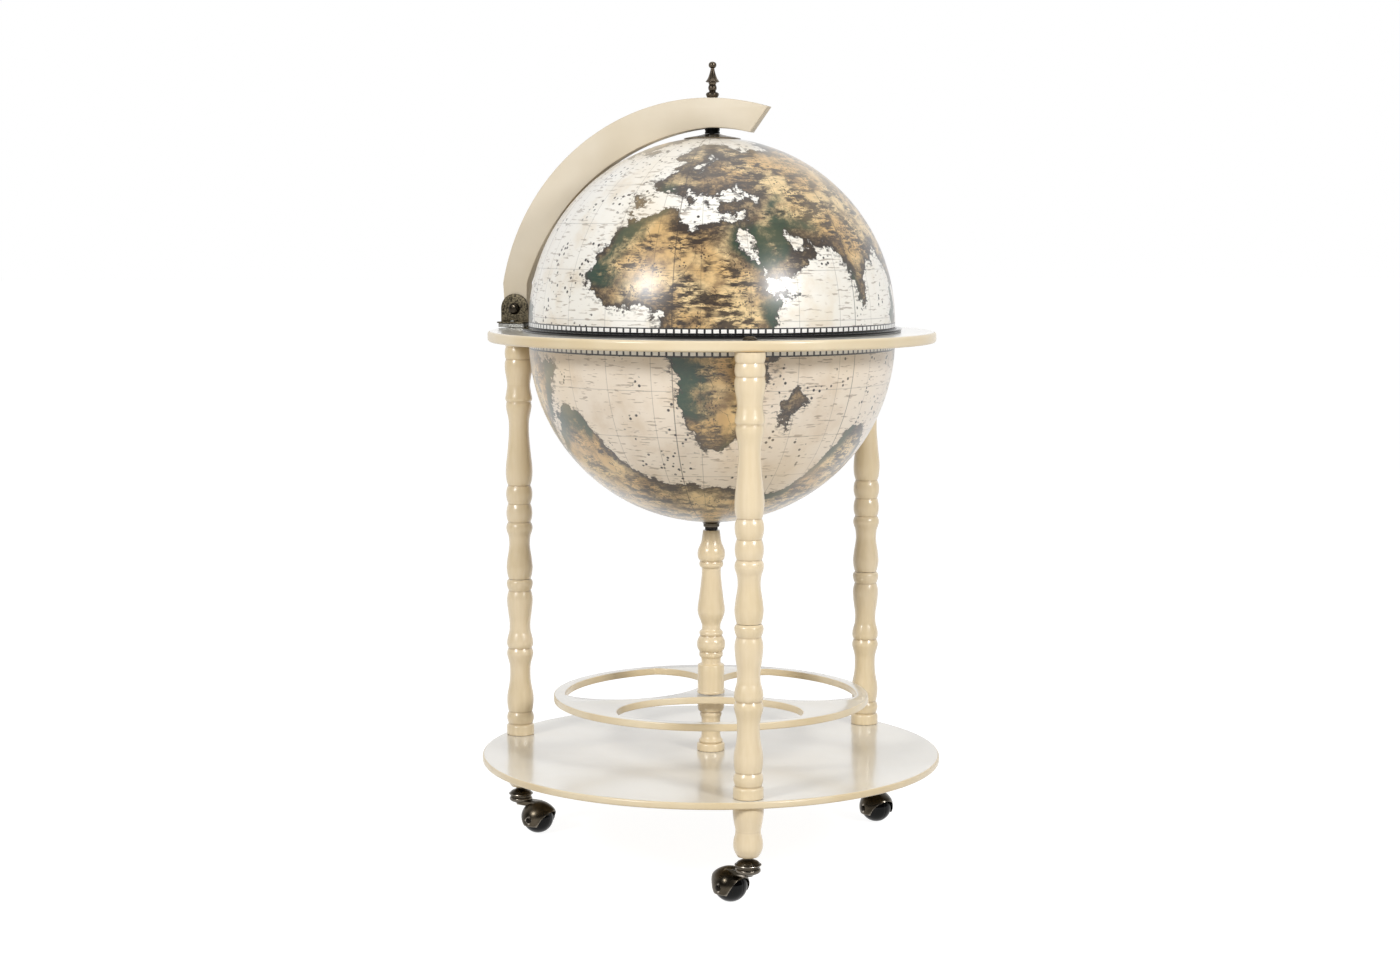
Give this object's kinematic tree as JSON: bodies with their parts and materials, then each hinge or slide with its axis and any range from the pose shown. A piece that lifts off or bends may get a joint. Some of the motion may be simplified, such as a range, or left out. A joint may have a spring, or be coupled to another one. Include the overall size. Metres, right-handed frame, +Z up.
{
  "type": "globe bar cabinet",
  "caption": "Floor standing globe that opens into a drinks bar, on a ring with turned legs, a bottle shelf, a round board and ball casters.",
  "frame": {"origin": "on the floor under the globe axis", "axes": "+Z up along the column and the pole, -Y towards the front leg"},
  "size_m": [0.532, 0.532, 0.9134],
  "materials": {
    "cream_lacquer": "cream lacquer, satin",
    "cream_gloss": "pale cream lacquer, polished",
    "antique_bronze": "dark antique bronze",
    "steel": "zinc plated",
    "black_plastic": "glossy black",
    "rubber": "matt black",
    "printed_map": "printed antique style map under clear varnish"
  },
  "bodies": {
    "frame": {"base_board": "cream_gloss", "horizon_ring": "cream_gloss", "foot_front": "cream_lacquer", "lower_leg_front": "cream_lacquer", "upper_leg_front": "cream_lacquer", "foot_stud_front": "steel", "leg_dowel_front": "steel", "leg_screw_front": "antique_bronze", "caster_stem_front": "antique_bronze", "foot_right": "cream_lacquer", "lower_leg_right": "cream_lacquer", "upper_leg_right": "cream_lacquer", "foot_stud_right": "steel", "leg_dowel_right": "steel", "leg_screw_right": "antique_bronze", "caster_stem_right": "antique_bronze", "foot_left": "cream_lacquer", "lower_leg_left": "cream_lacquer", "upper_leg_left": "cream_lacquer", "foot_stud_left": "steel", "leg_dowel_left": "steel", "leg_screw_left": "antique_bronze", "caster_stem_left": "antique_bronze", "lower_spindle": "cream_lacquer", "upper_spindle": "cream_lacquer", "bottle_shelf": "cream_gloss", "column_rod": "steel", "column_nut": "steel", "column_washer": "rubber", "lower_pole_cap": "antique_bronze", "lower_bowl": "printed_map", "bowl_bolt": "steel", "glass_rack": "cream_gloss", "bottle_plate": "cream_gloss", "hinge_base": "steel", "hinge_bracket": "antique_bronze", "hinge_pin": "antique_bronze", "hinge_screw_near": "steel", "hinge_screw_far": "steel"},
    "lid_arc": {"meridian_arc": "cream_gloss", "pole_collar": "black_plastic", "finial": "antique_bronze", "pole_bolt": "steel", "pole_nut": "steel"},
    "upper_half": {"upper_globe": "printed_map", "rim_band": "black_plastic", "upper_pole_cap": "antique_bronze"},
    "caster_front": {"caster_hood_front": "antique_bronze", "caster_axle_front": "steel"},
    "ball_front": {"caster_ball_front": "black_plastic"},
    "caster_right": {"caster_hood_right": "antique_bronze", "caster_axle_right": "steel"},
    "ball_right": {"caster_ball_right": "black_plastic"},
    "caster_left": {"caster_hood_left": "antique_bronze", "caster_axle_left": "steel"},
    "ball_left": {"caster_ball_left": "black_plastic"}
  },
  "joints": [
    {"name": "lid_hinge", "type": "hinge", "parent": "frame", "child": "lid_arc", "pos_m": [-0.21218, 0.1225, 0.63], "axis": [-0.5, -0.866, 0], "range_deg": [0, 85]},
    {"name": "globe_spin", "type": "hinge", "parent": "lid_arc", "child": "upper_half", "pos_m": [0, 0, 0.618], "axis": [0, 0, 1], "continuous": true},
    {"name": "caster_swivel_front", "type": "hinge", "parent": "frame", "child": "caster_front", "pos_m": [0, -0.245, 0.0405], "axis": [0, 0, 1], "continuous": true},
    {"name": "ball_roll_front", "type": "hinge", "parent": "caster_front", "child": "ball_front", "pos_m": [-0.01539, -0.2253, 0.0185], "axis": [-0.788, -0.6157, 0], "continuous": true},
    {"name": "caster_swivel_right", "type": "hinge", "parent": "frame", "child": "caster_right", "pos_m": [0.21218, 0.1225, 0.0405], "axis": [0, 0, 1], "continuous": true},
    {"name": "ball_roll_right", "type": "hinge", "parent": "caster_right", "child": "ball_right", "pos_m": [0.22274, 0.09984, 0.0185], "axis": [0.9063, 0.4226, 0], "continuous": true},
    {"name": "caster_swivel_left", "type": "hinge", "parent": "frame", "child": "caster_left", "pos_m": [-0.21218, 0.1225, 0.0405], "axis": [0, 0, 1], "continuous": true},
    {"name": "ball_roll_left", "type": "hinge", "parent": "caster_left", "child": "ball_left", "pos_m": [-0.19303, 0.10643, 0.0185], "axis": [0.6428, 0.766, 0], "continuous": true}
  ]
}
